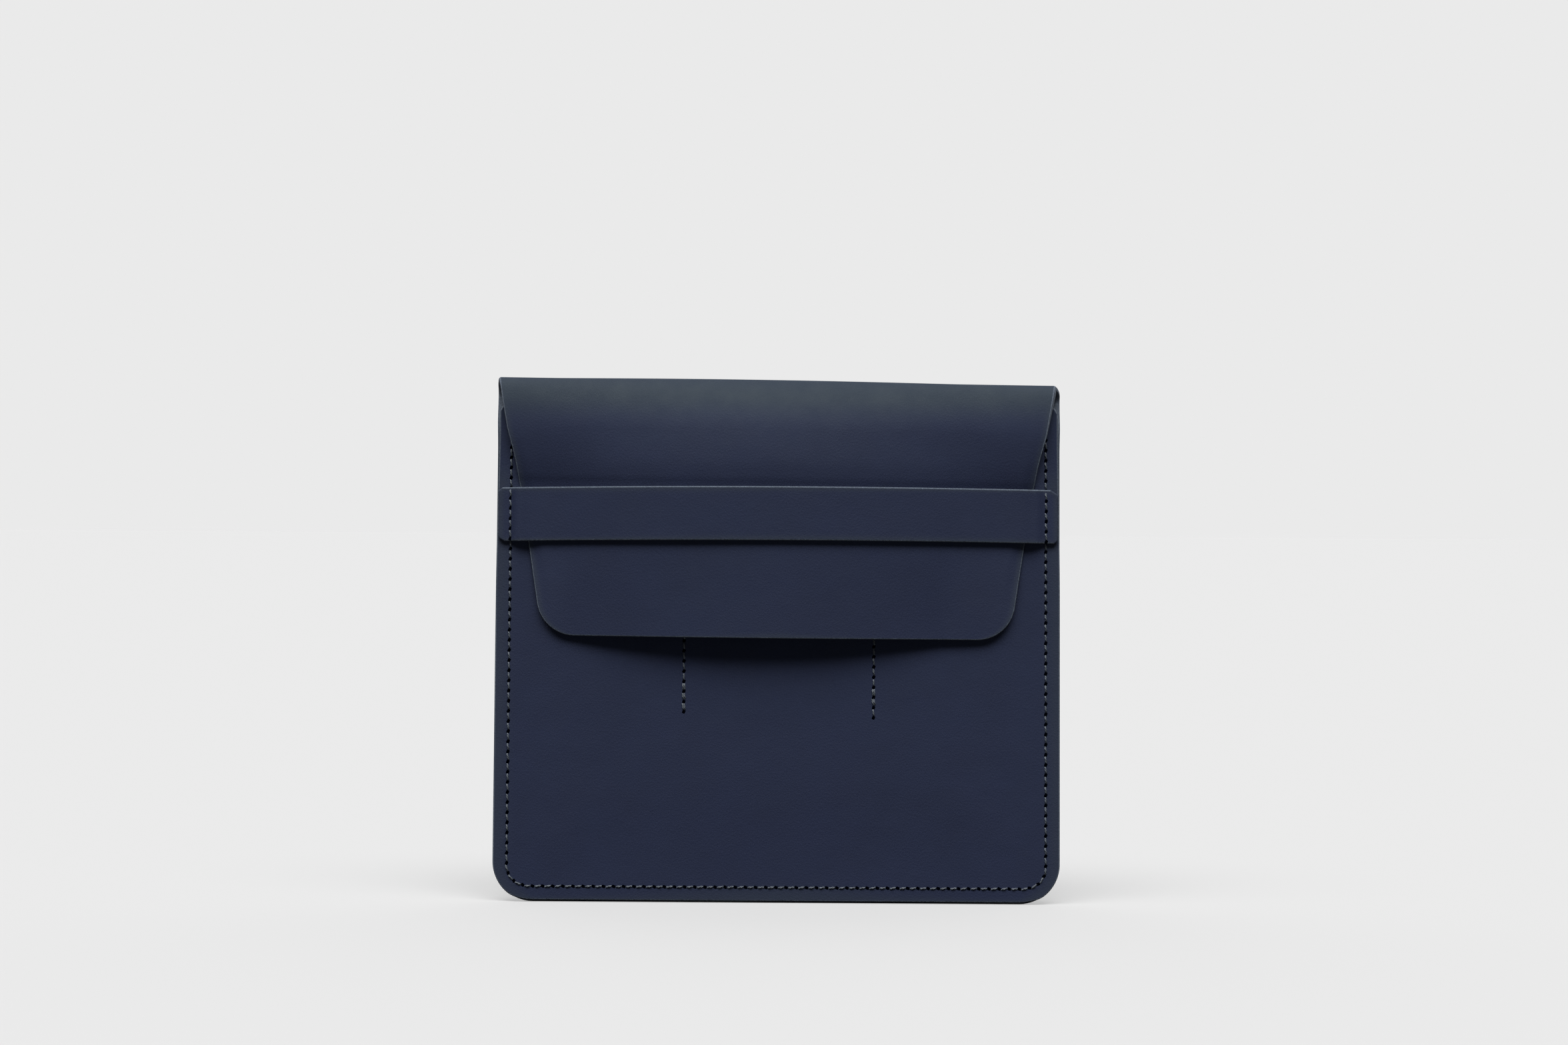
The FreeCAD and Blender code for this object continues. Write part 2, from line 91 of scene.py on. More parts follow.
FLAP_OUTER = HIDE + FRONT_BULGE + FLAP_GAP + HIDE  # how far forward the flap's face is
FOLD_OUTER = (HIDE + BACK_BULGE + FLAP_OUTER) / 2  # outer radius of the fold
FOLD_Y = HIDE + BACK_BULGE - FOLD_OUTER  # its middle
FOLD_Z = TOP - FOLD_OUTER
DRAW = (HALF - MOUTH_HALF) / FOLD_Z  # how far the sides draw in for each millimetre up
BAND_TOP = BAND_BASE + BAND_HEIGHT

# The hide over the fold, in degrees round it from the back
REAR_END = 60  # where back_hide runs on into fold_hide
FRONT_START = 120  # where fold_hide runs on into flap_hide
FRONT_END = 180  # where the fold ends
FOLD_STEP = 3  # from one row of points to the next
SHIFT_START = 30  # from where the strip moves over to the flap's place
SHIFT_TURN = 60  # and over what turn

# How the soft hide differs from its flat pattern in the photograph

# Edges and wear, with painted shade and a painted highlight tint
EDGE = 0.5  # rounding of a cut edge
FLAP_EDGE = 0.4  # and of the thinner flap's
POCKET_ROUND = 0.3  # and the pocket's
WEAR_REACH = 2.5  # how far in from a cut edge the hide is rubbed
MARGIN_WEAR_REACH = 8.0  # and along the pressed margins of the panels
PAINTED_SHADE_RUN = 10.0  # over what height the rubbing fades out, so the front's margins beside the flap stay darker above the band as painted shade
FOLD_TINT_FOOT = 188.0  # from what height the colour turns less blue near the top of the fold, as a painted tint for its highlight
FOLD_TINT_RUN = 13.0  # and over what height that grows
BARE_COLUMNS = 6  # columns along the sides of the back and fold with no nap inside

# Unevenness: how far apart its waves are, and the size and seed for each hide
RIPPLE_LENGTH = 38.0
FRONT_RIPPLE = 0.16, 3.0
BACK_RIPPLE = 0.35, 9.0
FLAP_RIPPLE = 0.15, 21.0
BACK_RIPPLE_FADE = 30.0  # over what height it fades below the fold
FLAP_RIPPLE_FADE = 20.0

# Panels
FRONT_SWELL = 0.6  # how far the front bulges: it lies flatter than its pattern
FRONT_INSET = 0.8  # how much further in the front panel's sides are near the mouth
FRONT_INSET_FOOT = 120.0  # from what height that starts
FRONT_INSET_RUN = 70.0  # and over what height it grows
MOUTH_CLIP = 1.4, 2.5  # its clipped top corners, across and down
BASE_LIFT = 0.8  # how far its lower edge stays off the floor
BASE_LIFT_SIDE = 6.5  # from how far in from the sides that starts
BASE_LIFT_RUN = 6.0  # over what distance it grows
BASE_LIFT_HIGH = 30.0  # and up to what height it reaches
LOWER_ROUND = 16.0  # the lower corners are worn a little rounder than their pattern
BACK_FLARE = 0.5  # how much wider the back is where it leaves the seam for the fold
BACK_SQUARE = 186.0  # from what height its raised face spreads to the sides
BACK_SKEW = 150.0  # from what height it shares the flap's tilt

# Fold
FRONT_ROUND = 20.0  # the front of the fold is taller than the back
FLAP_TOP = TOP - FRONT_ROUND  # height where it ends
FRONT_EASE = 0.5  # how much more evenly than a round it falls away
EASE_MIDDLE = 80.0  # as far as this to each side
EASE_RUN = 25.0  # and less over this distance beyond
TOP_NARROW = 1.6  # how much narrower the strip is at the fold's top than the back
TOP_ROUND = 3.3  # how far below the top that narrowing starts
TOP_TILT = 1.05  # how much lower the right end of the fold is than the middle
TOP_BOW = 0.55  # how much the middle of the fold rises above its ends
TOP_BOW_POWER = 4  # how quickly that fades down the flap

# Flap
FLAP_HIDE = 1.5  # the flap is pared thinner than the panels
FLAP_SIDE_HIDE = 0.95  # and thinner still along its sides
SIDE_PARE = 6.0  # within this distance of them
FLAP_SHIFT = -0.75  # the flap lies a little to the left
FLAP_FULL = 1.0  # how much fuller it is on each side, just under the fold
FLAP_FULL_FOOT = 172.0  # from what height
FLAP_FULL_RUN = 18.0  # and over what height that grows
CUT_SLANT = 0.9  # how far out the inner edge of its right side slants, near the fold
CUT_SLANT_POWER = 4  # how quickly that fades to the left
CROWN = 5.2  # how far the flap and the band swell at their middle
CROWN_MIDDLE = -8.0
CROWN_SPAN = 80.0
CROWN_POWER = 1.2  # how pointed the swell is
CROWN_RUN = 34.0  # how far below the top it is full
CROWN_RUN_POWER = 1.5  # and how quickly it gets there
PINCH = 1.1  # how far the flap dips in just above the band
PINCH_SLOW = 0.35  # what share of that comes on gently
PINCH_SLOW_RUN = 10.0  # from this height above the band
PINCH_SHARP_RUN = 2.5  # and the rest sharply, from this height
PINCH_UNDER = 8.0  # how far under the band it fades
SIDE_PRESS = 2.1  # how far its sides press in under the band
SIDE_PRESS_START = 55.0  # from how far out
SIDE_PRESS_RUN = 40.0  # and over what distance that grows
PARE_PRESS = 0.85  # and how much more where they are pared
SIDE_HELD_RUN = 28.0  # over what height below the fold they are pressed
TIP_BOW = 5.1  # how far the middle of the tip springs forward
TIP_SPAN = 74.0
TIP_PRESS = 0.6  # how far the tip presses in beside that
TIP_CORNER_PRESS = 0.8  # and how much more at its corners
TIP_CORNER_START = 65.0  # from how far out
TIP_CORNER_RUN = 20.0  # and over what distance that grows
TIP_TILT = 0.55  # how much lower the right end of the tip is than the middle

# Band and pocket
BAND_RISE = 0.37  # how much higher the middle of the band is than its flat pattern
BAND_SAG = 0.95  # and how far its ends droop from there
# The pocket's rows: place across, how much lower than its pattern each lies, and
# which stitches are doubled
POCKET_ROWS = {"left": (-36.8, -0.4, (0, 1, 2)), "right": (38.0, 1.5, (1, 2))}

# Where the grids have points: distances in from an edge, close together where
# it is rounded or sewn, and then the even steps
NEAR_SIDES = [
    EDGE, 0.7, 1.1, 1.7, 2.5, 3.4, 4.2, 4.8, 5.2, 5.6, 6.0,
    6.4, 7.0, 7.8, 8.8, 10, 11.3, 12.6, 14, 15.5, 17, 19,
]
NEAR_BASE = [
    EDGE, 0.6, 0.85, 1.2, 1.7, 2.5, 3.4, 4.2, 4.8, 5.2, 5.6,
    6.0, 6.4, 7.0, 7.8, 8.8, 10, 11.3, 12.6, 14, 15.5,
]
NEAR_TIP = [EDGE, 0.6, 0.85, 1.2, 1.7, 2.4, 3.3, 4.4, 5.8, 7.5, 9.5, 12]
NEAR_BAND = [EDGE, 0.7, 1.1, 1.6, 2.2, 3.2, 4.6, 6.5]
NEAR_BAND_ENDS = [
    EDGE, 0.8, 1.3, 1.9, 2.6, 3.3, 3.9, 4.4, 4.8, 5.2, 5.6, 6.0,
    6.4, 6.8, 7.2, 7.6, 8.0, 8.5, 9.2, 10, 11, 12.5, 15,
]
NEAR_POCKET = [EDGE, 1.0, 2.0, 4.0]
NEAR_POCKET_SIDES = [POCKET_ROUND, 0.8, 1.6, 2.8, 4.0, 6.0]
CLIP_ROWS = [0.7, 1.3, MOUTH_CLIP[1] - EDGE]  # up from the foot of the clipped corners
PANEL_STEP = 3.5
FLAP_STEP = 2.5
BAND_STEP = 2.0
POCKET_STEP = 4.0
MIDDLE_COLUMNS = 23  # columns between the close ones and the middle

FRONT = Vector((0, -1, 0))
REAR = Vector((0, 1, 0))
DOWN = Vector((0, 0, -1))


def smooth(t):
    """From 0 to 1 as t does, with a soft start and end."""
    t = min(max(t, 0.0), 1.0)
    return t * t * (3 - 2 * t)


def mix(a, b, t):
    """From a to b as t goes from 0 to 1."""
    return a + (b - a) * t


# Materials


def new_material(name):
    material = bpy.data.materials.new(name)
    material.use_nodes = True
    nodes = material.node_tree.nodes
    links = material.node_tree.links
    return material, nodes, links, nodes["Principled BSDF"]


def set_inputs(node, values):
    for name, value in values.items():
        node.inputs[name].default_value = value


def texture(nodes, links, kind, scale, **settings):
    place = nodes.get("place") or nodes.new("ShaderNodeTexCoord")
    place.name = "place"
    node = nodes.new(f"ShaderNodeTex{kind}")
    links.new(place.outputs["Object"], node.inputs["Vector"])
    set_inputs(node, {"Scale": scale, **settings})
    return node


def ramp(nodes, links, source, stops):
    node = nodes.new("ShaderNodeValToRGB")
    links.new(source, node.inputs["Fac"])
    ends = node.color_ramp.elements
    while len(ends) < len(stops):
        ends.new(0.5)
    for end, (place, colour) in zip(ends, stops):
        end.position = place
        end.color = (*colour, 1)
    return node.outputs["Color"]


def shade(nodes, links, attribute, colour, full):
    """Turns a colour towards another, as far as an attribute of the mesh says."""
    node = nodes.new("ShaderNodeMix")
    node.data_type = "RGBA"
    set_inputs(node, {"B": (*full, 1)})
    amount = nodes.new("ShaderNodeAttribute")
    amount.attribute_name = attribute
    links.new(amount.outputs["Fac"], node.inputs["Factor"])
    links.new(colour, node.inputs["A"])
    return node.outputs["Result"]


def bump(nodes, links, layers, shader):
    """Adds height layers, each (height, distance in metres), one on another."""
    last = None
    for height, distance in layers:
        node = nodes.new("ShaderNodeBump")
        set_inputs(node, {"Strength": 1.0, "Distance": distance})
        links.new(height, node.inputs["Height"])
        if last:
            links.new(last, node.inputs["Normal"])
        last = node.outputs["Normal"]
    links.new(last, shader.inputs["Normal"])


def grain_leather():
    """Smooth dyed hide: fine pebbled grain, faint mottling and a dull broad sheen."""
    material, nodes, links, shader = new_material("grain_leather")
    mottle = texture(nodes, links, "Noise", 38.0, Detail=4.0, Roughness=0.6)
    colour = ramp(nodes, links, mottle.outputs["Fac"], [
        (0.3, (0.0049, 0.0083, 0.0430)),
        (0.7, (0.0061, 0.0103, 0.0488)),
    ])
    worn = shade(nodes, links, "wear", colour, (0.0125, 0.0178, 0.0465))
    # Painted highlight tint: near the top of the fold the colour turns less blue, so the
    # highlight there reads grey-green.
    tinted = shade(nodes, links, "fold_highlight_tint", worn, (0.0044, 0.0104, 0.0330))
    links.new(tinted, shader.inputs["Base Color"])
    set_inputs(shader, {"Specular IOR Level": 0.55, "Specular Tint": (0.88, 1.0, 0.82, 1)})
    pebble = texture(nodes, links, "Voronoi", 1300.0, Randomness=1.0)
    fine = texture(nodes, links, "Noise", 2400.0, Detail=3.0, Roughness=0.6)
    soft = texture(nodes, links, "Noise", 60.0, Detail=2.0)
    bump(nodes, links, [
        (soft.outputs["Fac"], 0.0002),
        (pebble.outputs["Distance"], 0.00004),
        (fine.outputs["Fac"], 0.00005),
    ], shader)
    wear = texture(nodes, links, "Noise", 110.0, Detail=5.0, Roughness=0.65)
    rough = ramp(nodes, links, wear.outputs["Fac"], [
        (0.3, (0.73, 0.73, 0.73)),
        (0.7, (0.78, 0.78, 0.78)),
    ])
    links.new(rough, shader.inputs["Roughness"])
    return material


def edge_leather():
    """The cut edge of the hide: fibrous, matt, dyed a little greyer than the grain side."""
    material, nodes, links, shader = new_material("edge_leather")
    fibre = texture(nodes, links, "Noise", 1500.0, Detail=5.0, Roughness=0.75)
    colour = ramp(nodes, links, fibre.outputs["Fac"], [
        (0.35, (0.044, 0.056, 0.079)),
        (0.7, (0.115, 0.143, 0.186)),
    ])
    links.new(colour, shader.inputs["Base Color"])
    bump(nodes, links, [(fibre.outputs["Fac"], 0.00025)], shader)
    set_inputs(shader, {"Roughness": 0.72, "Specular IOR Level": 0.4})
    return material


def flesh_leather():
    """The inside of the hide: a short suede nap."""
    material, nodes, links, shader = new_material("flesh_leather")
    nap = texture(nodes, links, "Noise", 900.0, Detail=6.0, Roughness=0.75)
    cloud = texture(nodes, links, "Noise", 70.0, Detail=3.0)
    colour = ramp(nodes, links, cloud.outputs["Fac"], [
        (0.3, (0.020, 0.025, 0.045)),
        (0.7, (0.031, 0.037, 0.058)),
    ])
    links.new(colour, shader.inputs["Base Color"])
    bump(nodes, links, [(nap.outputs["Fac"], 0.0003)], shader)
    set_inputs(shader, {"Roughness": 0.92, "Specular IOR Level": 0.2})
    set_inputs(shader, {"Sheen Weight": 0.25, "Sheen Roughness": 0.4})
    return material


def waxed_thread():
    """Grey-green twisted thread with a waxy surface."""
    material, nodes, links, shader = new_material("waxed_thread")
    strand = texture(nodes, links, "Noise", 1300.0, Detail=3.0, Roughness=0.6)
    colour = ramp(nodes, links, strand.outputs["Fac"], [
        (0.35, (0.046, 0.057, 0.069)),
        (0.7, (0.116, 0.136, 0.162)),
    ])
    links.new(colour, shader.inputs["Base Color"])
    bump(nodes, links, [(strand.outputs["Fac"], 0.0001)], shader)
    set_inputs(shader, {"Roughness": 0.55})
    return material


def hole_shade():
    """The inside of a stitch hole: raw hide, painted near black as the shade in the hole."""
    material, nodes, links, shader = new_material("hole_shade")
    fibre = texture(nodes, links, "Noise", 2500.0, Detail=3.0)
    colour = ramp(nodes, links, fibre.outputs["Fac"], [
        (0.3, (0.0002, 0.0004, 0.0012)),
        (0.7, (0.0008, 0.0012, 0.0032)),
    ])
    links.new(colour, shader.inputs["Base Color"])
    set_inputs(shader, {"Roughness": 1.0, "Specular IOR Level": 0.0})
    return material


GRAIN = grain_leather()
RAW = edge_leather()
FLESH = flesh_leather()
THREAD = waxed_thread()
HOLE = hole_shade()


# Meshes

SHARP = math.radians(50)  # edges that turn further than this look sharp


def add(name, data):
    """A new object in the scene."""
    piece = bpy.data.objects.new(name, data)
    bpy.context.scene.collection.objects.link(piece)
    return piece


def new_piece(name, points, faces, materials, indices=None, wear=None):
    """A mesh object from points in millimetres. Wear, from 0 to 1, is how rubbed
    a hide is at each point, left off where shade is painted. A hide also gets a
    painted tint for the highlight at the top of the fold, by its height."""
    mesh = bpy.data.meshes.new(name)
    mesh.from_pydata([Vector(p) * MM for p in points], [], faces)
    for material in materials:
        mesh.materials.append(material)
    if indices:
        mesh.polygons.foreach_set("material_index", indices)
    mesh.polygons.foreach_set("use_smooth", [True] * len(mesh.polygons))
    mesh.set_sharp_from_angle(angle=SHARP)
    mesh.validate()
    if wear:
        mesh.attributes.new("wear", "FLOAT", "POINT").data.foreach_set("value", wear)
        # The painted highlight tint grows up the top of the fold.
        fold_highlight_tint = [smooth((p.z - FOLD_TINT_FOOT) / FOLD_TINT_RUN) for p in points]
        mesh.attributes.new("fold_highlight_tint", "FLOAT", "POINT").data.foreach_set("value", fold_highlight_tint)
    return add(name, mesh)


def border(rows, columns):
    """The grid places round a grid's edge, in order."""
    loop = [(0, j) for j in range(columns)]
    loop += [(i, columns - 1) for i in range(1, rows)]
    loop += [(rows - 1, j) for j in range(columns - 2, -1, -1)]
    loop += [(i, 0) for i in range(rows - 2, 0, -1)]
    return loop


def edge_wear(grid, joined, reach, painted_shade_from):
    """How rubbed each point of a grid is, by its distance from the cut edges.
    Above a given height the rubbing fades out, so the hide stays darker there as painted shade."""
    last = len(grid) - 1
    wear = []
    for row in grid:
        for j, point in enumerate(row):
            ends = [row[0], row[-1]]
            ends += [grid[i][j] for i in (0, last) if i not in joined]
            near = 1 - smooth(min((point - end).length for end in ends) / reach)
            # Above the given height the rubbing fades out: painted shade.
            wear.append(near * (1 - smooth((point.z - painted_shade_from) / PAINTED_SHADE_RUN)))
    return wear


def hide(
    name, outer, inner, joined=(), edge=EDGE, bare=0, rubbed=WEAR_REACH, painted_shade_from=TOP,
    dyed=False,
):
    """A closed piece of leather from two grids of points. Columns x rows points to
    the grain side.

    joined: rows where the hide runs on into the next piece, so they aren't rounded
    edge: rounding of the other edges
    bare: how many columns along the sides have no nap inside, like the cut edge
    rubbed: how far in from the edges the grain is rubbed
    painted_shade_from: the height above which the rubbing is left off, so the hide stays darker
    there as painted shade
    dyed: whether the cut sides are dyed like the grain"""
    rows, columns = len(outer), len(outer[0])
    points = [p for row in outer for p in row] + [p for row in inner for p in row]
    inside = rows * columns
    materials = [GRAIN, RAW, FLESH]
    grain, raw, flesh = range(len(materials))
    faces, indices = [], []
    for i in range(rows - 1):
        for j in range(columns - 1):
            a, b = i * columns + j, i * columns + j + 1
            c, d = b + columns, a + columns
            faces.append((a, b, c, d))
            indices.append(grain)
            faces.append((inside + d, inside + c, inside + b, inside + a))
            indices.append(raw if min(j, columns - 2 - j) < bare else flesh)
    loop = border(rows, columns)
    count = len(loop)
    rings = []
    turns = (30, 60, 90)  # angles of the points round each rounded edge
    for k, (i, j) in enumerate(loop):
        p, q = outer[i][j], inner[i][j]
        before, after = loop[k - 1], loop[(k + 1) % count]
        along = outer[after[0]][after[1]] - outer[before[0]][before[1]]
        up = (p - q).normalized()
        out = along.cross(up).normalized()
        plain = i in joined
        ring = [i * columns + j]
        if plain and j in (0, columns - 1):
            out = Vector((1 if p.x > 0 else -1, 0, 0))
            plain = False
        for side, way in ((p, -1), (q, 1)):
            angles = turns if way < 0 else turns[::-1]
            for angle in angles:
                a = math.radians(angle)
                step = up * (way * edge * (1 - math.cos(a)))
                if not plain:
                    step = out * (edge * math.sin(a)) + step
                ring.append(len(points))
                points.append(side + step)
        ring.append(inside + i * columns + j)
        rings.append(ring)
    for k in range(count):
        here, there = rings[k], rings[(k + 1) % count]
        for n in range(len(here) - 1):
            faces.append((here[n], here[n + 1], there[n + 1], there[n]))
            at_side = all(loop[m % count][1] in (0, columns - 1) for m in (k, k + 1))
            indices.append(grain if dyed and at_side else raw)
    wear = edge_wear(outer, joined, rubbed, painted_shade_from)
    wear += [0.0] * inside + [1.0] * (len(points) - 2 * inside)
    flat_cut(outer, inner, edge)
    return new_piece(name, points, faces, materials, indices, wear)


def split(rows, turned=False):
    """The outer and inner grids from rows of pairs of points. Turned, the rows run
    the other way, for a grain side that faces back."""
    order = -1 if turned else 1
    return [[[pair[side] for pair in row[::order]] for row in rows] for side in (0, 1)]


def path_length(points):
    return sum((b - a).length for a, b in zip(points, points[1:]))


def flat_cut(outer, inner, edge):
    """The size and area, in metres, of the flat hide that a piece was formed from,
    half way through it."""
    grid = [[(p + q) / 2 for p, q in zip(*rows)] for rows in zip(outer, inner)]
    sides = [row[0] for row in grid], [row[-1] for row in grid]
    width = max(path_length(row) for row in grid) + 2 * edge
    length = path_length([row[len(row) // 2] for row in grid]) + 2 * edge
    area = edge * sum(path_length(line) for line in (grid[0], grid[-1], *sides))
    for row, after in zip(grid, grid[1:]):
        for a, b, c, d in zip(row, row[1:], after[1:], after):
            area += (c - a).cross(d - b).length / 2
    return (width * MM, length * MM), min(area, width * length) * MM**2


def spread(near, step, reach):
    """Distances in from an edge: close together near it, then even steps up to reach."""
    places = list(near)
    gap = reach - places[-1]
    steps = max(1, round(gap / step))
    return places + [places[-1] + gap * (n + 1) / steps for n in range(steps)]


def across(left, right, near=NEAR_SIDES):
    """Positions from left to right, close together near both ends."""
    middle = (left + right) / 2
    gap = (right - left) / 2 - near[-1]
    steps_in = near + [near[-1] + gap * n / MIDDLE_COLUMNS for n in range(1, MIDDLE_COLUMNS)]
    return [left + d for d in steps_in] + [middle] + [right - d for d in reversed(steps_in)]


def half_at(z):
    """Half width of a panel at a height, with its round lower corners. The grid of
    points stops short of the edge by its rounding, so the corner is drawn that much
    inside its true curve."""
    side = HALF - DRAW * z
    if z < LOWER_ROUND:
        return side - LOWER_ROUND + EDGE + inset_curve(LOWER_ROUND, z)
    return side


def inset_curve(radius, up):
    """How far out a round corner reaches at a height above its foot, inside the
    rounded edge."""
    return math.sqrt(max(0.0, (radius - EDGE) ** 2 - (radius - up) ** 2))


def edge_distance(x, z):
    """How far in a point of a panel is from its edge."""
    side = HALF - DRAW * z - abs(x)
    if side < LOWER_ROUND and z < LOWER_ROUND:
        return LOWER_ROUND - math.hypot(LOWER_ROUND - side, LOWER_ROUND - z)
    return min(side, z)


def raised(x, z):
    """How far up its slope the raised face of the back is at a point, from 0 to 1.
    It opens out to the sides towards the mouth."""
    opened = smooth((z - MOUTH_OPEN) / (FOLD_Z - MOUTH_OPEN))
    foot = mix(MARGIN, MOUTH_LIP / 2, opened)
    run = mix(BACK_RUN, MOUTH_LIP / 2, opened)
    return smooth((edge_distance(x, z) - foot) / run)


def front_face(x, z):
    """How far forward the front panel's face is at a point."""
    rise = smooth((edge_distance(x, z) - MARGIN) / FRONT_RUN)
    return HIDE + (FRONT_SWELL - ripple(x, z, *FRONT_RIPPLE)) * rise


def ripple(x, z, size, seed):
    """A gentle unevenness of the hide, in millimetres."""
    return size * noise.noise(Vector((x / RIPPLE_LENGTH, z / RIPPLE_LENGTH, seed)))


def skew(x, z):
    """How much higher than its pattern the flap lies at a point. It is a little
    askew, so its right end is lower, and the middle of the fold bows up."""
    up = (z - FLAP_END) / (TOP - FLAP_END)
    bow = TOP_BOW * hump(x, CROWN_SPAN) * max(0.0, up) ** TOP_BOW_POWER
    return bow - x / MOUTH_HALF * mix(TIP_TILT, TOP_TILT, up)


def front_hide():
    """The front of the sleeve, with its clipped top corners."""
    rows = []
    clip_run, clip_rise = MOUTH_CLIP
    clip_foot = FRONT_TOP - clip_rise
    for z in spread(NEAR_BASE, PANEL_STEP, clip_foot) + [clip_foot + d for d in CLIP_ROWS]:
        half = half_at(z) - FRONT_INSET * smooth((z - FRONT_INSET_FOOT) / FRONT_INSET_RUN)
        half -= clip_run * max(0.0, (z - FRONT_TOP) / clip_rise + 1)
        row = []
        for x in across(-half, half):
            y, height = -front_face(x, z), z + base_lift(x, z)
            row.append((Vector((x, y, height)), Vector((x, y + HIDE, height))))
        rows.append(row)
    # Above the band the front's margins beside the flap stay unrubbed and darker: painted shade.
    return hide("front_hide", *split(rows), rubbed=MARGIN_WEAR_REACH, painted_shade_from=BAND_TOP)


def base_lift(x, z):
    """How far the front hide is drawn up at a point near its lower edge."""
    flat = smooth((HALF - BASE_LIFT_SIDE - abs(x)) / BASE_LIFT_RUN)
    return BASE_LIFT * flat * max(0.0, 1 - z / BASE_LIFT_HIGH)


def fold_depth(x, angle):
    """How far back a place on the fold is, as a share of the fold's depth. The
    front falls away more evenly than a round, except near its ends."""
    back = math.cos(math.radians(angle))
    if angle <= 90:
        return back
    ease = 1 + FRONT_EASE * (1 - smooth((abs(x) - EASE_MIDDLE) / EASE_RUN))
    return -abs(back) ** ease


def strip_ends(angle):
    """Left and right ends of the strip over the fold at an angle round it from the
    back. The back stays wide almost to the top, and the front runs on as the flap's
    slanting sides."""
    turn = math.sin(math.radians(angle))
    if angle <= 90:
        below = min(FOLD_OUTER * (1 - turn) / TOP_ROUND, 1.0)
        half = MOUTH_HALF + BACK_FLARE - TOP_NARROW * (1 - math.sqrt(1 - (1 - below) ** 2))
    else:
        half = mix(flap_half(FLAP_TOP), MOUTH_HALF + BACK_FLARE - TOP_NARROW, turn)
    shift = FLAP_SHIFT * smooth((angle - SHIFT_START) / SHIFT_TURN)
    return shift - half, shift + half


def fold_row(angle):
    """The pairs of points across the fold at an angle round it from the back."""
    a = math.radians(angle)
    high = FOLD_OUTER if angle <= 90 else FRONT_ROUND
    z = TOP - high * (1 - math.sin(a))
    over = smooth((angle - REAR_END) / (FRONT_START - REAR_END))
    ahead = smooth((angle - FRONT_START) / (FRONT_END - FRONT_START))
    thick = mix(HIDE, FLAP_HIDE, ahead)
    ends = strip_ends(angle)
    row = []
    for x in across(*ends):
        y = FOLD_Y + FOLD_OUTER * fold_depth(x, angle)
        if angle > 90:
            y -= crown(x, z)
        pared = mix(thick, side_hide(x, ends, thick), ahead)
        under = Vector((x + slant(x, z) * over, y - pared * math.cos(a), z - pared * math.sin(a)))
        row.append((Vector((x, y, z + skew(x, z))), under + Vector((0, 0, skew(x, z)))))
    return row


def fold_rows(start, end):
    """The rows across the fold from one angle up to another."""
    return [fold_row(angle) for angle in range(start, end, FOLD_STEP)]


def slant(x, z):
    """How much further out the inner face of the flap lies, towards its right side."""
    right = max(0.0, x / MOUTH_HALF) ** CUT_SLANT_POWER
    return CUT_SLANT * right * smooth((z - BAND_TOP) / (TOP - BAND_TOP))


def side_hide(x, ends, thick):
    """How thick the flap is at a place between its two sides."""
    inset = min(x - ends[0], ends[1] - x)
    return mix(FLAP_SIDE_HIDE, thick, smooth(inset / SIDE_PARE))


def back_hide():
    """The back of the sleeve and the first part of the fold."""
    rows = []
    for z in spread(NEAR_BASE, PANEL_STEP, FOLD_Z)[:-1]:
        half = half_at(z) + BACK_FLARE * smooth((z - MOUTH_OPEN) / (FOLD_Z - MOUTH_OPEN))
        squared = smooth((z - BACK_SQUARE) / (FOLD_Z - BACK_SQUARE))
        tilted = smooth((z - BACK_SKEW) / (FOLD_Z - BACK_SKEW))
        row = []
        for x in across(-half, half):
            rise = max(raised(x, z), squared)
            uneven = ripple(x, z, *BACK_RIPPLE) * rise * smooth((FOLD_Z - z) / BACK_RIPPLE_FADE)
            y, height = BACK_BULGE * rise + uneven, z + skew(x, z) * tilted
            row.append((Vector((x, y + HIDE, height)), Vector((x, y, height))))
        rows.append(row)
    rows += fold_rows(0, REAR_END + FOLD_STEP)
    return hide(
        "back_hide", *split(rows, turned=True),
        joined=(len(rows) - 1,), bare=BARE_COLUMNS, rubbed=MARGIN_WEAR_REACH,
    )


def fold_hide():
    """The top of the fold."""
    rows = fold_rows(REAR_END, FRONT_START + FOLD_STEP)
    joined = (0, len(rows) - 1)
    return hide("fold_hide", *split(rows, turned=True), joined=joined, bare=BARE_COLUMNS)


def flap_half(z):
    """Half width of the flap at a height, with its round lower corners. Its sides
    splay more near the fold."""
    up = z - FLAP_END
    lean = math.hypot(1, FLAP_LEAN)
    middle = FLAP_END_HALF + FLAP_LEAN * FLAP_CORNER - FLAP_CORNER * lean
    if up < FLAP_CORNER * (1 - FLAP_LEAN / lean):
        return middle + EDGE + inset_curve(FLAP_CORNER, up)
    splay = FLAP_SPLAY * max(0.0, up - SPLAY_FOOT) ** 2
    full = FLAP_FULL * smooth((z - FLAP_FULL_FOOT) / FLAP_FULL_RUN)
    return FLAP_END_HALF + FLAP_LEAN * up + splay + full


def hump(x, span):
    """1 at the middle of the front, falling off to 0 at the span to each side."""
    return max(0.0, 1 - ((x - CROWN_MIDDLE) / span) ** 2) ** CROWN_POWER


def crown(x, z):
    """How far the flap swells forward at a point: fully from some way below the fold."""
    down = min((TOP - z) / CROWN_RUN, 1.0)
    return CROWN * hump(x, CROWN_SPAN) * (1 - (1 - down) ** CROWN_RUN_POWER)


def flap_ends(z):
    """Left and right sides of the flap at a height."""
    return FLAP_SHIFT - flap_half(z), FLAP_SHIFT + flap_half(z)


def pinch(z):
    """How far the flap dips towards the band: a little from some way above, then
    sharply at the band's edge."""
    above = z - BAND_TOP
    slow = PINCH_SLOW * smooth(1 - above / PINCH_SLOW_RUN)
    sharp = (1 - PINCH_SLOW) * smooth(1 - above / PINCH_SHARP_RUN)
    return PINCH * (slow + sharp) * smooth(1 + above / PINCH_UNDER)


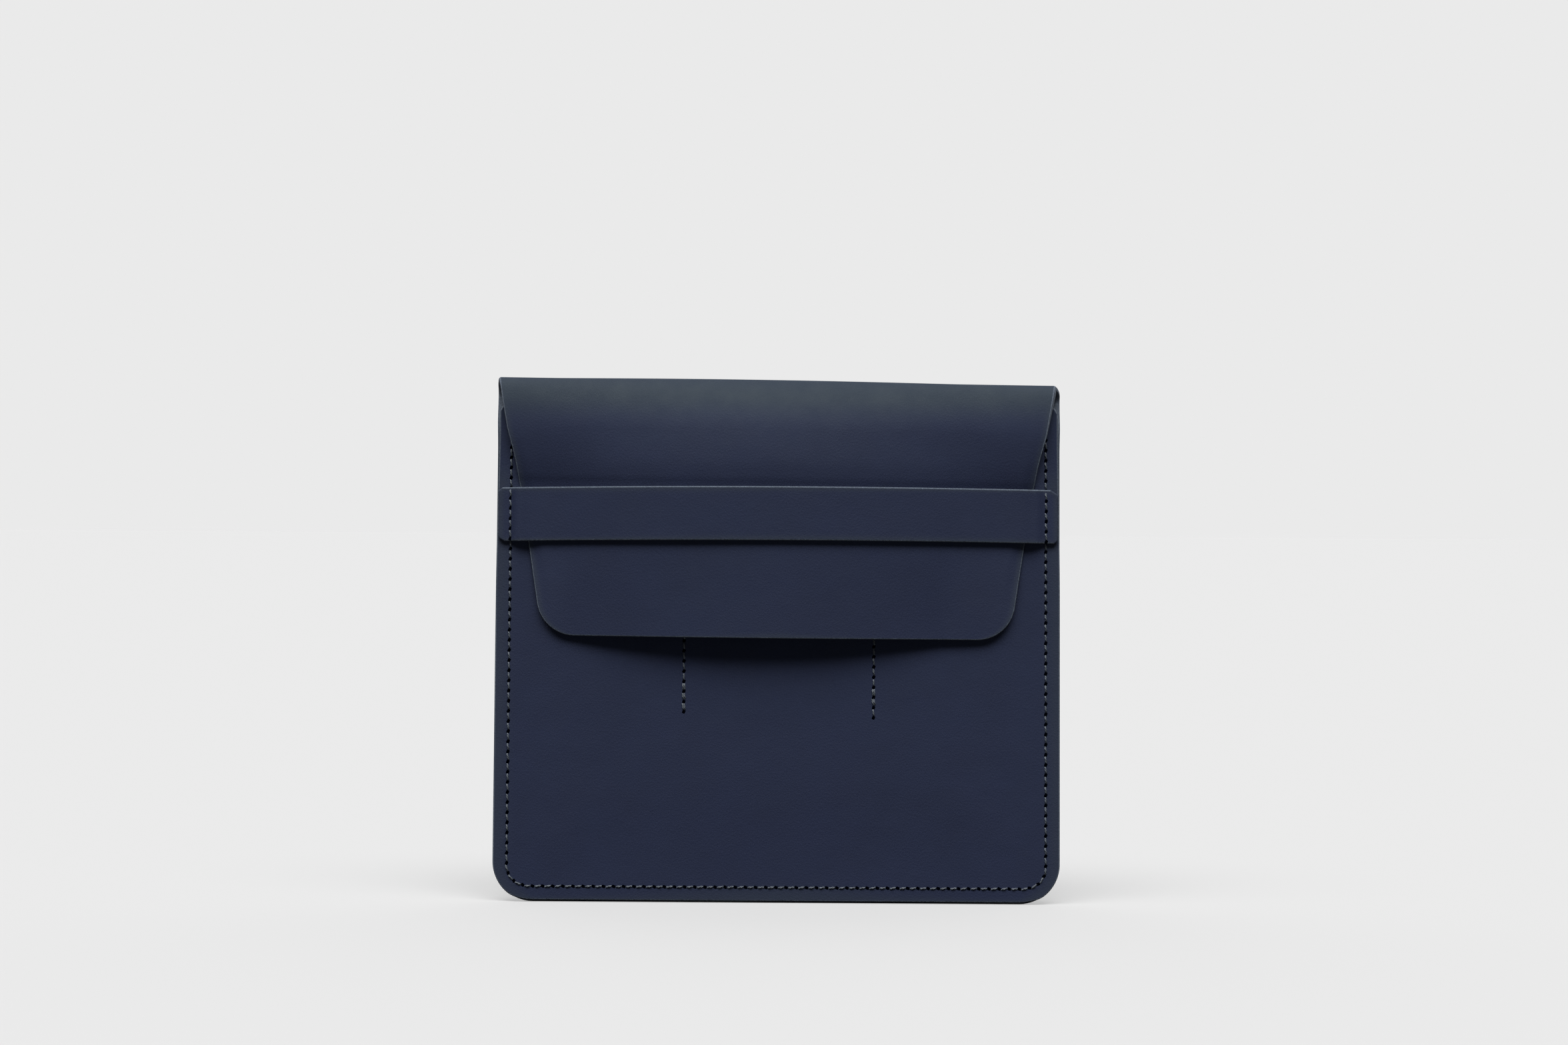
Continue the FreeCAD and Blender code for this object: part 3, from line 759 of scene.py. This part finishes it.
def flap_lift(x, z, ends):
    """How far the flap stands off its flat pattern at a point."""
    inset = min(x - ends[0], ends[1] - x)
    side = SIDE_PRESS * smooth((abs(x) - SIDE_PRESS_START) / SIDE_PRESS_RUN)
    side += PARE_PRESS * (1 - smooth(inset / SIDE_PARE))
    held = smooth((FLAP_TOP - z) / SIDE_HELD_RUN)
    lift = crown(x, z) - side * held - pinch(z)
    down = max(0.0, (BAND_BASE - z) / (BAND_BASE - FLAP_END))
    corner = smooth((abs(x) - TIP_CORNER_START) / TIP_CORNER_RUN)
    press = TIP_PRESS + TIP_CORNER_PRESS * corner
    tip = mix(-press, TIP_BOW, hump(x, TIP_SPAN))
    uneven = ripple(x, z, *FLAP_RIPPLE) * smooth((FLAP_TOP - z) / FLAP_RIPPLE_FADE)
    return mix(lift, tip, smooth(down)) + uneven


def flap_hide():
    """The last part of the fold and the flap below it."""
    rows = fold_rows(FRONT_START, FRONT_END)
    for up in reversed(spread(NEAR_TIP, FLAP_STEP, FLAP_TOP - FLAP_END)):
        z = FLAP_END + up
        ends = flap_ends(z)
        row = []
        for x in across(*ends):
            y, height = -(FLAP_OUTER + flap_lift(x, z, ends)), z + skew(x, z)
            under = y + side_hide(x, ends, FLAP_HIDE)
            row.append((Vector((x, y, height)), Vector((x + slant(x, z), under, height))))
        rows.append(row)
    return hide("flap_hide", *split(rows, turned=True), joined=(0,), edge=FLAP_EDGE)


def band_line(x):
    """The inner face of the band at a place across the front, as a distance forward."""
    ends = flap_ends(BAND_TOP)
    within = min(max(x, ends[0]), ends[1])
    level = FLAP_OUTER + BAND_GAP + flap_lift(within, BAND_BASE + BAND_HEIGHT / 2, ends)
    end = ends[0] if x < 0 else ends[1]
    return mix(level, HIDE, smooth((abs(x) - abs(end)) / (BAND_FOOT - abs(end))))


def band_rise(x):
    """How much higher the band lies than its flat pattern: it bows up at the middle
    and droops at its ends."""
    return BAND_RISE - BAND_SAG * ((x + CROWN_MIDDLE) / BAND_HALF) ** 2


def clip(up, corner):
    """How far the end of the band is cut back at a height, by the clipped corners
    at its foot and top."""
    (foot_run, foot_rise), (top_run, top_rise) = corner
    foot = max(0.0, 1 - up / foot_rise) * foot_run
    top = max(0.0, 1 - (BAND_HEIGHT - up) / top_rise) * top_run
    return max(foot, top)


def band_hide():
    """The band across the front, bent over the flap."""
    rows = []
    nudge = 0.05  # for the slope of the band's line
    heights = spread(NEAR_BAND, BAND_STEP, BAND_HEIGHT / 2)
    heights += [BAND_HEIGHT - h for h in reversed(heights[:-1])]
    for up in heights:
        left = -BAND_HALF + clip(up, BAND_CLIP_LEFT)
        right = BAND_HALF - clip(up, BAND_CLIP_RIGHT)
        row = []
        for x in across(left, right, NEAR_BAND_ENDS):
            slope = (band_line(x + nudge) - band_line(x - nudge)) / (2 * nudge)
            under = Vector((x, -band_line(x), BAND_BASE + up + band_rise(x)))
            row.append((under + Vector((-slope, -1, 0)).normalized() * BAND_HIDE, under))
        rows.append(row)
    return hide("band_hide", *split(rows), dyed=True)


def pocket_hide():
    """The thin hide of the inner pocket, folded at its lower edge: down in front,
    round the fold and up behind."""
    radius = POCKET_HIDE + POCKET_SLOT / 2
    middle = radius - FRONT_SWELL
    centre = POCKET_ROW_BASE - POCKET_HEM + radius
    fall = spread(NEAR_POCKET, POCKET_STEP, POCKET_TOP - centre)
    fold_steps = 10
    path = [(-1, 0, POCKET_TOP - d) for d in fall]
    for step in range(1, fold_steps):
        a = math.radians(180 + step * 180 / fold_steps)
        path.append((math.cos(a), math.sin(a), centre))
    path += [(1, 0, POCKET_TOP - d) for d in reversed(fall)]
    half = POCKET_ROW + POCKET_EDGE
    rows = []
    for out, up, z in path:
        places = [(middle + r * out, z + r * up) for r in (radius, radius - POCKET_HIDE)]
        columns = across(-half, half, NEAR_POCKET_SIDES)
        rows.append([[Vector((x, y, height)) for y, height in places] for x in columns])
    return hide("pocket_hide", *split(rows, turned=True), edge=POCKET_ROUND)


# Stitches

STITCH_WIDE = 0.78
STITCH_HIGH = 0.5
STITCH_LONG = PITCH - 1.2
TWIST = math.radians(330)  # how far the plies turn round each other along a stitch
PLY = 0.33  # radius of a ply, as a share of the stitch's width
PLY_END = 0.7  # how much of that is left at its ends
PLY_POWER = 0.4  # how quickly it swells from there
ARCH_POWER = 0.55  # how quickly a stitch rises from its ends
PLY_APART = 0.55  # how far each ply lies from the middle, as a share of its radius
PLY_FLAT = 0.8  # how much the pair is pressed flat
SUNK = 0.6  # how much of its height a stitch is sunk at its ends
INNER_HIGH = 0.4  # the pocket's rows are flatter and longer inside
INNER_LONG = PITCH - 1.0
DOUBLE_APART = 0.3  # how far a doubled stitch's two lie to each side
# Lean of the stitches and slits against their row, and how much it varies, in degrees
SEAM_LEAN = 9, 9
SEAM_SLIT_LEAN = 22, 12
POCKET_LEAN = 6, 12
POCKET_SLIT_LEAN = 22, 20
INNER_SLIT_LEAN = math.radians(25)
# How much the stitches vary in width, length and place
WIDE_VARY = 0.1
LONG_VARY = 0.3
PLACE_VARY = 0.5
# Where each measure's seeds start, so that a stitch's measures don't vary together
WIDE_SEED, LONG_SEED, SLIT_SEED = 50, 90, 7
POCKET_LEAN_SEED, PLACE_SEED = 30, 60
SEED_STEP = 1.37, 0.71  # from one seed to the next, across the noise
SEED_LAYER = 4.2
# Length and width of the slits
SEAM_SLIT = 1.5, 1.2
BACK_SLIT = 1.7, 0.9
POCKET_SLIT = 1.4, 1.2
INNER_SLIT = 1.4, 0.8
SLIT_HIGH = 0.07  # a slit's dark dish stands this far proud at its middle
SLIT_RIM = 0.03  # and at its rim
SLIT_DEEP = 0.2  # and reaches this far down
SLIT_SQUARE = 6  # how square its ends are


def slanted(along, out, lean):
    """The direction along a row turned by a lean, and the one square to it."""
    heading = (along * math.cos(lean) + along.cross(out) * math.sin(lean)).normalized()
    return heading, heading.cross(out)


def stitch(points, faces, place, along, out, length, width, high, lean, turn):
    """One stitch: two plies of thread twisted together, dipping into its holes at
    both ends."""
    heading, side = slanted(along, out, lean)
    rings, sides = 13, 7
    for ply in (0, math.pi):
        base = len(points)
        for i in range(rings):
            t = i / (rings - 1)
            arch = math.sin(math.pi * t)
            thick = width * PLY * mix(PLY_END, 1.0, arch**PLY_POWER)
            spin = ply + turn + TWIST * t
            rise = high * arch**ARCH_POWER - high * SUNK
            centre = place + heading * ((t - 0.5) * length) + out * rise
            off = side * math.cos(spin) + out * (PLY_FLAT * math.sin(spin))
            centre += off * (thick * PLY_APART)
            for k in range(sides):
                a = 2 * math.pi * k / sides
                points.append(centre + (side * math.cos(a) + out * math.sin(a)) * thick)
        for i in range(rings - 1):
            for k in range(sides):
                a, b = base + i * sides + k, base + i * sides + (k + 1) % sides
                faces.append((a, b, b + sides, a + sides))
        faces.append(tuple(base + k for k in reversed(range(sides))))
        faces.append(tuple(base + (rings - 1) * sides + k for k in range(sides)))


def hole(points, faces, place, along, out, length, width, lean):
    """The slanting slit that a stitch goes down, as a shallow dish lying on the hide,
    painted near black as the shade in the hole."""
    u, v = slanted(along, out, lean)
    sides = 12
    base = len(points)
    points.append(place + out * SLIT_HIGH)
    points.append(place - out * SLIT_DEEP)
    for k in range(sides):
        a = 2 * math.pi * (k + 0.5) / sides
        square = math.cos(a) ** SLIT_SQUARE + math.sin(a) ** SLIT_SQUARE
        reach = 0.5 / square ** (1 / SLIT_SQUARE)
        rim = u * (length * reach * math.cos(a)) + v * (width * reach * math.sin(a))
        points.append(place + rim + out * SLIT_RIM)
    for k in range(sides):
        a, b = base + 2 + k, base + 2 + (k + 1) % sides
        faces.append((base, b, a))
        faces.append((base + 1, a, b))


def seam_places():
    """The middles of the stitches round the seam and the slits between them, each
    with the direction of the row, as in the source. A run is a line from one point
    to another, or a quarter turn round a point from an angle."""
    radius = CORNER - SEAM_INSET
    half = HALF - SEAM_INSET
    turn = half - radius
    foot, head = half - DRAW * CORNER, half - DRAW * SEAM_TOP
    runs = [
        ("line", Vector((-head, 0, SEAM_TOP)), Vector((-foot, 0, CORNER))),
        ("arc", Vector((-turn, 0, CORNER)), 180),
        ("line", Vector((-turn, 0, SEAM_INSET)), Vector((turn, 0, SEAM_INSET))),
        ("arc", Vector((turn, 0, CORNER)), 270),
        ("line", Vector((foot, 0, CORNER)), Vector((head, 0, SEAM_TOP))),
    ]

    def length(run):
        return (run[2] - run[1]).length if run[0] == "line" else math.radians(90) * radius

    total = sum(length(r) for r in runs)
    count = int(total / PITCH)
    spare = (total - count * PITCH) / 2

    def at(distance):
        for run in runs:
            if distance <= length(run) or run is runs[-1]:
                if run[0] == "line":
                    heading = (run[2] - run[1]).normalized()
                    return run[1] + heading * distance, heading
                a = math.radians(run[2]) + distance / radius
                ray = Vector((math.cos(a), 0, math.sin(a)))
                return run[1] + ray * radius, Vector((-math.sin(a), 0, math.cos(a)))
            distance -= length(run)

    def lifted(distance):
        place, heading = at(distance)
        return place + Vector((0, 0, base_lift(place.x, place.z))), heading

    middles = [lifted(spare + PITCH * (n + 0.5)) for n in range(count)]
    ends = [lifted(min(max(spare + PITCH * n, 0.0), total)) for n in range(count + 1)]
    return middles, ends


def seam_front(place):
    """How far forward the face under the seam's row is at a place, and whose it is."""
    up = place.z - BAND_BASE - band_rise(place.x)
    if EDGE < up < BAND_HEIGHT - EDGE:
        return band_line(place.x) + BAND_HIDE, "band"
    return HIDE, "hide"


def jitter(seed, size):
    """A small unevenness that differs from seed to seed."""
    u, v = SEED_STEP
    return size * noise.noise(Vector((seed * u, seed * v, SEED_LAYER)))


def leaning(lean, seed):
    """A lean with its share of unevenness, in radians."""
    angle, vary = lean
    return math.radians(angle + jitter(seed, vary))


def seam_stitches():
    names = ("left", "base", "right", "band_left", "band_right", "back")
    groups = {name: ([], []) for name in names}
    holes = ([], [])
    middles, ends = seam_places()
    for n, (place, heading) in enumerate(middles):
        side = "left" if place.x < 0 else "right"
        forward, kind = seam_front(place)
        upright = abs(heading.z) > math.cos(math.radians(45))
        name = f"band_{side}" if kind == "band" else (side if upright else "base")
        lean = -leaning(SEAM_LEAN, n)
        long = STITCH_LONG + jitter(n + LONG_SEED, LONG_VARY)
        wide = STITCH_WIDE + jitter(n + WIDE_SEED, WIDE_VARY)
        face, behind = place + FRONT * forward, place + REAR * HIDE
        stitch(*groups[name], face, heading, FRONT, long, wide, STITCH_HIGH, lean, n)
        stitch(*groups["back"], behind, heading, REAR, long, wide, STITCH_HIGH, -lean, n)
    for n, (place, heading) in enumerate(ends):
        forward, _ = seam_front(place)
        lean = leaning(SEAM_SLIT_LEAN, n + SLIT_SEED)
        hole(*holes, place + FRONT * forward, heading, FRONT, *SEAM_SLIT, lean)
        hole(*holes, place + REAR * HIDE, heading, REAR, *BACK_SLIT, -lean)
    for name, (points, faces) in groups.items():
        piece = new_piece(f"seam_stitches_{name}", points, faces, [THREAD])
        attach(piece, "sleeve")
        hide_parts(f"seam_thread_{name}")
    piece = new_piece("seam_holes", *holes, [HOLE])
    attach(piece, "sleeve")


def pocket_stitches():
    inside = 2 * POCKET_HIDE + POCKET_SLOT - FRONT_SWELL
    count = int((POCKET_TOP - POCKET_ROW_BASE) / PITCH)
    spare = (POCKET_TOP - POCKET_ROW_BASE - count * PITCH) / 2
    holes = ([], [])
    for name, (x, drop, doubles) in POCKET_ROWS.items():
        group = ([], [])
        for n in range(count + 1):
            z = POCKET_ROW_BASE - drop + spare + PITCH * n
            slit = Vector((x, -front_face(x, z), z))
            hole(*holes, slit, DOWN, FRONT, *POCKET_SLIT, leaning(POCKET_SLIT_LEAN, n))
            hole(*holes, Vector((x, inside, z)), DOWN, REAR, *INNER_SLIT, INNER_SLIT_LEAN)
            if n == count:
                continue
            middle = z + PITCH / 2
            lean = -leaning(POCKET_LEAN, n + POCKET_LEAN_SEED)
            place = Vector((x, -front_face(x, middle), middle))
            for beside in (-DOUBLE_APART, DOUBLE_APART) if n in doubles else (0.0,):
                shift = Vector((beside, 0, jitter(n + PLACE_SEED + beside, PLACE_VARY)))
                size = STITCH_LONG + jitter(n + beside, LONG_VARY), STITCH_WIDE
                stitch(*group, place + shift, DOWN, FRONT, *size, STITCH_HIGH, lean, n + beside)
            size = INNER_LONG, STITCH_WIDE
            stitch(*group, Vector((x, inside, middle)), DOWN, REAR, *size, INNER_HIGH, lean, n)
        piece = new_piece(f"pocket_stitches_{name}", *group, [THREAD])
        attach(piece, "sleeve")
        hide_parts(f"pocket_thread_{name}")
    piece = new_piece("pocket_holes", *holes, [HOLE])
    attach(piece, "sleeve")


# The object


def build():
    front = front_hide()
    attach(front, "sleeve")
    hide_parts("front_panel")
    back = back_hide()
    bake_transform(back)
    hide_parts("back_panel")
    fold = fold_hide()
    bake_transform(fold)
    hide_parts("fold_rear", "fold_front")
    flap = flap_hide()
    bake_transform(flap)
    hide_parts("flap")
    band = band_hide()
    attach(band, "sleeve")
    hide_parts("retaining_band")
    pocket = pocket_hide()
    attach(pocket, "sleeve")
    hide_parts("inner_pocket")
    seam_stitches()
    pocket_stitches()


# Studio

PALE = 0.823  # the photograph's backdrop
FLOOR_SEEN = 0.25  # how pale the floor's paper is where it is seen
FLOOR_GLOW = 0.395  # how much light is added to it there
FLOOR_BOUNCE = 0.08  # and how pale it is for the light that it throws back
FLOOR_REACH = 40.0  # in metres
KEY = 4.95  # strength of the key light: a wide soft box, as a row of broad lamps
KEY_HEIGHT = math.radians(58)  # its height above the horizon
KEY_SPREAD = math.radians(30)  # how large each lamp looks from the object
KEY_SIDES = [math.radians(a) for a in (-50, -27, -4, 19, 42)]  # the lamps, from the left
KEY_STAND = 1.5  # where they are drawn, in metres above the floor
FRONT_GLOW, BACK_GLOW = 0.04, 1.0  # light from the room before and behind the object
GLOW_START, GLOW_END = -0.1, 0.5  # it grows between these, as the y of a direction
SENSOR = 36.0
LENS = 75.57
CAMERA_PLACE = (0.00225, -1.3, 0.15026)
CAMERA_ROLL = math.radians(-0.37)


def show(nodes, links, light, seen, output, *also):
    """Lights the object with one shader, and shows another where the eye, or one of
    the other rays, looks straight at it."""
    paths = nodes.new("ShaderNodeLightPath")
    straight = paths.outputs["Is Camera Ray"]
    for ray in (paths.outputs["Is Transmission Ray"], *also):
        either = nodes.new("ShaderNodeMath")
        either.operation = "MAXIMUM"
        links.new(straight, either.inputs[0])
        links.new(ray, either.inputs[1])
        straight = either.outputs[0]
    choose = nodes.new("ShaderNodeMixShader")
    links.new(straight, choose.inputs["Fac"])
    links.new(light.outputs[0], choose.inputs[1])
    links.new(seen.outputs[0], choose.inputs[2])
    links.new(choose.outputs[0], output.inputs["Surface"])


def room_side(nodes, links, low, high):
    """From low in front of the object, where the camera stands, to high behind it."""
    place = nodes.new("ShaderNodeTexCoord")
    parts = nodes.new("ShaderNodeSeparateXYZ")
    links.new(place.outputs["Generated"], parts.inputs[0])
    grade = nodes.new("ShaderNodeMapRange")
    grade.interpolation_type = "SMOOTHSTEP"
    set_inputs(grade, {"From Min": GLOW_START, "From Max": GLOW_END})
    set_inputs(grade, {"To Min": low, "To Max": high})
    links.new(parts.outputs["Y"], grade.inputs["Value"])
    return grade.outputs[0]


def backdrop():
    """A pale backdrop where it is seen, and a dim room that lights the object mostly
    from behind."""
    world = bpy.data.worlds.new("studio")
    bpy.context.scene.world = world
    world.use_nodes = True
    nodes, links = world.node_tree.nodes, world.node_tree.links
    light = nodes["Background"]
    set_inputs(light, {"Color": (1, 1, 1, 1)})
    links.new(room_side(nodes, links, FRONT_GLOW, BACK_GLOW), light.inputs["Strength"])
    seen = nodes.new("ShaderNodeBackground")
    set_inputs(seen, {"Color": (PALE, PALE, PALE, 1)})
    paths = nodes.new("ShaderNodeLightPath")
    mirrored = nodes.new("ShaderNodeMath")
    mirrored.operation = "MULTIPLY"
    links.new(paths.outputs["Is Glossy Ray"], mirrored.inputs[0])
    links.new(room_side(nodes, links, 0, 1), mirrored.inputs[1])
    show(nodes, links, light, seen, nodes["World Output"], mirrored.outputs[0])


def floor():
    """Pale paper. It throws back little light, as the photograph's shadows are deep."""
    mesh = bpy.data.meshes.new("floor")
    signs = (-1, -1), (1, -1), (1, 1), (-1, 1)
    mesh.from_pydata([(x * FLOOR_REACH, y * FLOOR_REACH, 0) for x, y in signs], [], [range(4)])
    piece = add("floor", mesh)
    material, nodes, links, shader = new_material("floor_paper")
    set_inputs(shader, {"Base Color": (FLOOR_BOUNCE, FLOOR_BOUNCE, FLOOR_BOUNCE, 1)})
    set_inputs(shader, {"Roughness": 1.0, "Specular IOR Level": 0.0})
    paper = nodes.new("ShaderNodeBsdfDiffuse")
    set_inputs(paper, {"Color": (FLOOR_SEEN, FLOOR_SEEN, FLOOR_SEEN, 1)})
    glow = nodes.new("ShaderNodeEmission")
    set_inputs(glow, {"Strength": FLOOR_GLOW})
    seen = nodes.new("ShaderNodeAddShader")
    links.new(paper.outputs[0], seen.inputs[0])
    links.new(glow.outputs[0], seen.inputs[1])
    show(nodes, links, shader, seen, nodes["Material Output"])
    mesh.materials.append(material)


def key_light():
    for number, side in enumerate(KEY_SIDES):
        data = bpy.data.lights.new(f"key_{number}", "SUN")
        data.energy = KEY / len(KEY_SIDES)
        data.angle = KEY_SPREAD
        piece = add(f"key_{number}", data)
        piece.rotation_euler = (math.pi / 2 - KEY_HEIGHT, 0, side)
        piece.location = (math.sin(side), -math.cos(side), KEY_STAND)


def camera():
    data = bpy.data.cameras.new("camera")
    data.sensor_width = SENSOR
    data.lens = LENS
    piece = add("camera", data)
    piece.location = CAMERA_PLACE
    piece.rotation_euler = (math.radians(90), CAMERA_ROLL, 0)
    bpy.context.scene.camera = piece


build()
backdrop()
floor()
key_light()
camera()
bpy.context.scene.view_settings.view_transform = "Standard"
